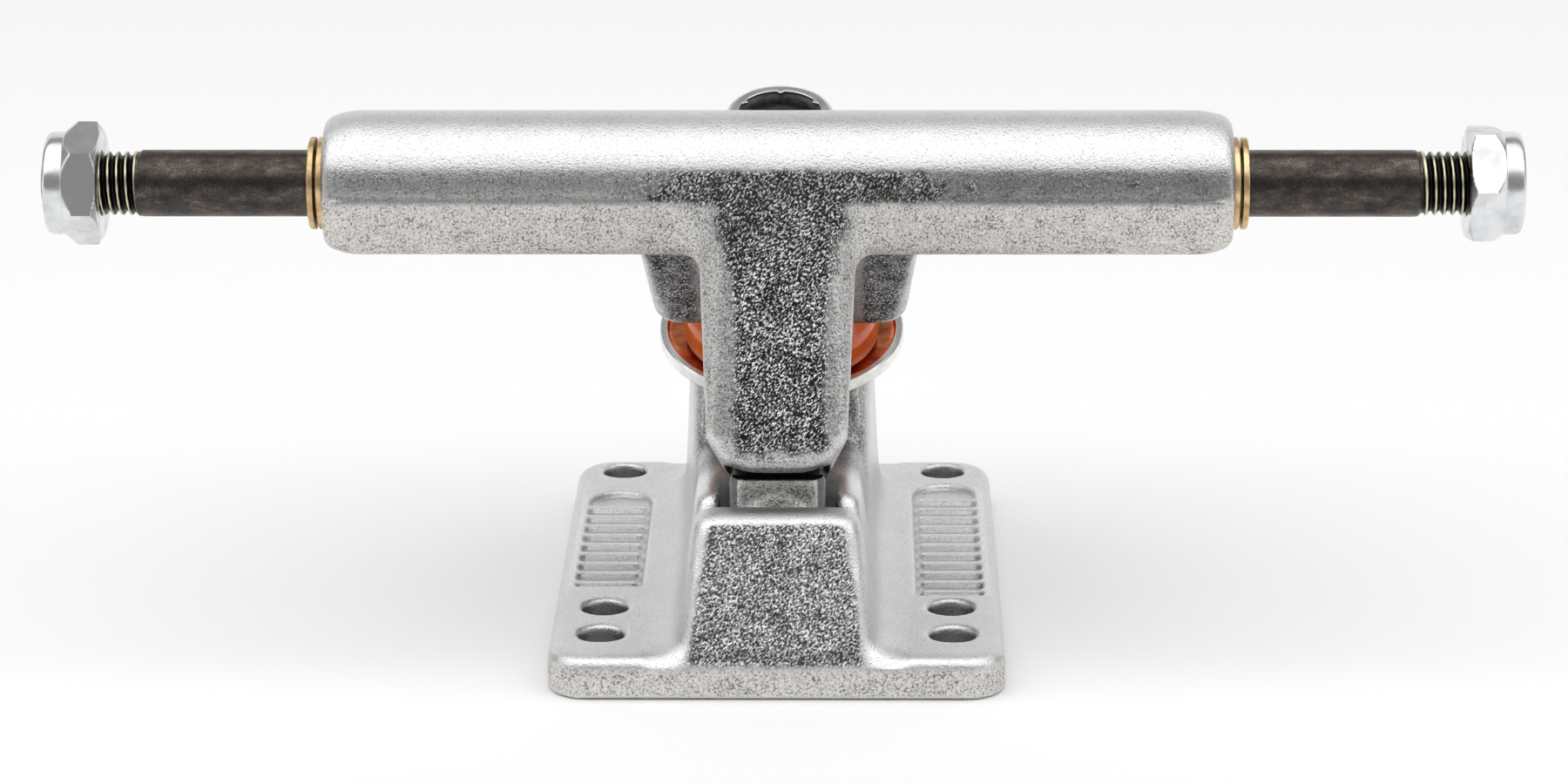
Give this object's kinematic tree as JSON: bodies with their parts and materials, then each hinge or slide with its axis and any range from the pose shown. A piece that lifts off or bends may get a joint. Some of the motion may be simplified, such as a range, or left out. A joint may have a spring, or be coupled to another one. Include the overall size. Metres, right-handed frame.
{
  "type": "skateboard truck",
  "caption": "Steering truck for a skateboard: cast baseplate with deck bolt holes, cast hanger on a pivot nose, urethane bushings on a leaning kingpin, and an axle with washers and lock nuts.",
  "frame": {"origin": "centre of the long deck bolt pattern, on the face that lies on the deck", "axes": "+X along the axle, +Z away from the deck, and -Y towards the pivot nose"},
  "size_m": [0.1754, 0.078, 0.0626],
  "materials": {
    "baseplate_casting": "sand cast and tumbled, bright on its edges",
    "hanger_casting": "sand cast and tumbled, dark grain on the tongue and the yoke",
    "pivot_cup_urethane": "moulded, satin",
    "bushing_urethane": "cast urethane, glossy and slightly see-through",
    "kingpin_steel": "zinc plated, dulled",
    "cup_washer_zinc": "bright zinc plate on pressed steel",
    "nut_zinc": "bright zinc plate",
    "kingpin_nut_nylon": "black nylon",
    "axle_nut_nylon": "natural nylon",
    "axle_steel": "black heat-treated steel, mottled brown",
    "speed_washer_brass": "yellow passivated"
  },
  "bodies": {
    "base": {"baseplate": "baseplate_casting", "pivot_cup": "pivot_cup_urethane", "kingpin": "kingpin_steel", "bottom_cup_washer": "cup_washer_zinc", "bottom_bushing": "bushing_urethane", "top_bushing": "bushing_urethane", "top_cup_washer": "cup_washer_zinc"},
    "kingpin_nut": {"kingpin_nut": "nut_zinc", "kingpin_nut_insert": "kingpin_nut_nylon"},
    "hanger": {"hanger": "hanger_casting", "axle": "axle_steel"},
    "speed_washer_left_inner": {"speed_washer_left_inner": "speed_washer_brass"},
    "speed_washer_left_outer": {"speed_washer_left_outer": "speed_washer_brass"},
    "speed_washer_right_inner": {"speed_washer_right_inner": "speed_washer_brass"},
    "speed_washer_right_outer": {"speed_washer_right_outer": "speed_washer_brass"},
    "axle_nut_left": {"axle_nut_left": "nut_zinc", "axle_nut_left_insert": "axle_nut_nylon"},
    "axle_nut_right": {"axle_nut_right": "nut_zinc", "axle_nut_right_insert": "axle_nut_nylon"}
  },
  "joints": [
    {"name": "steer", "type": "hinge", "parent": "base", "child": "hanger", "pos_m": [0, -0.027, 0.0115], "axis": [0, 0.8447, 0.5352], "range_deg": [-12, 12], "stiffness_Nm_per_rad": 20, "deforming": ["bottom_bushing", "top_bushing"]},
    {"name": "kingpin_nut_turn", "type": "hinge", "parent": "base", "child": "kingpin_nut", "pos_m": [0, 0.0107, 0.04851], "axis": [0, -0.2924, 0.9563], "range_deg": [-90, 90]},
    {"name": "speed_washer_left_inner_slide", "type": "slide", "parent": "hanger", "child": "speed_washer_left_inner", "axis": [-1, 0, 0], "range_m": [0, 0.012]},
    {"name": "speed_washer_left_outer_slide", "type": "slide", "parent": "speed_washer_left_inner", "child": "speed_washer_left_outer", "axis": [-1, 0, 0], "range_m": [0, 0.012]},
    {"name": "speed_washer_right_inner_slide", "type": "slide", "parent": "hanger", "child": "speed_washer_right_inner", "axis": [1, 0, 0], "range_m": [0, 0.012]},
    {"name": "speed_washer_right_outer_slide", "type": "slide", "parent": "speed_washer_right_inner", "child": "speed_washer_right_outer", "axis": [1, 0, 0], "range_m": [0, 0.012]},
    {"name": "axle_nut_left_off", "type": "slide", "parent": "hanger", "child": "axle_nut_left", "axis": [-1, 0, 0], "range_m": [0, 0.036]},
    {"name": "axle_nut_right_off", "type": "slide", "parent": "hanger", "child": "axle_nut_right", "axis": [1, 0, 0], "range_m": [0, 0.036]}
  ]
}
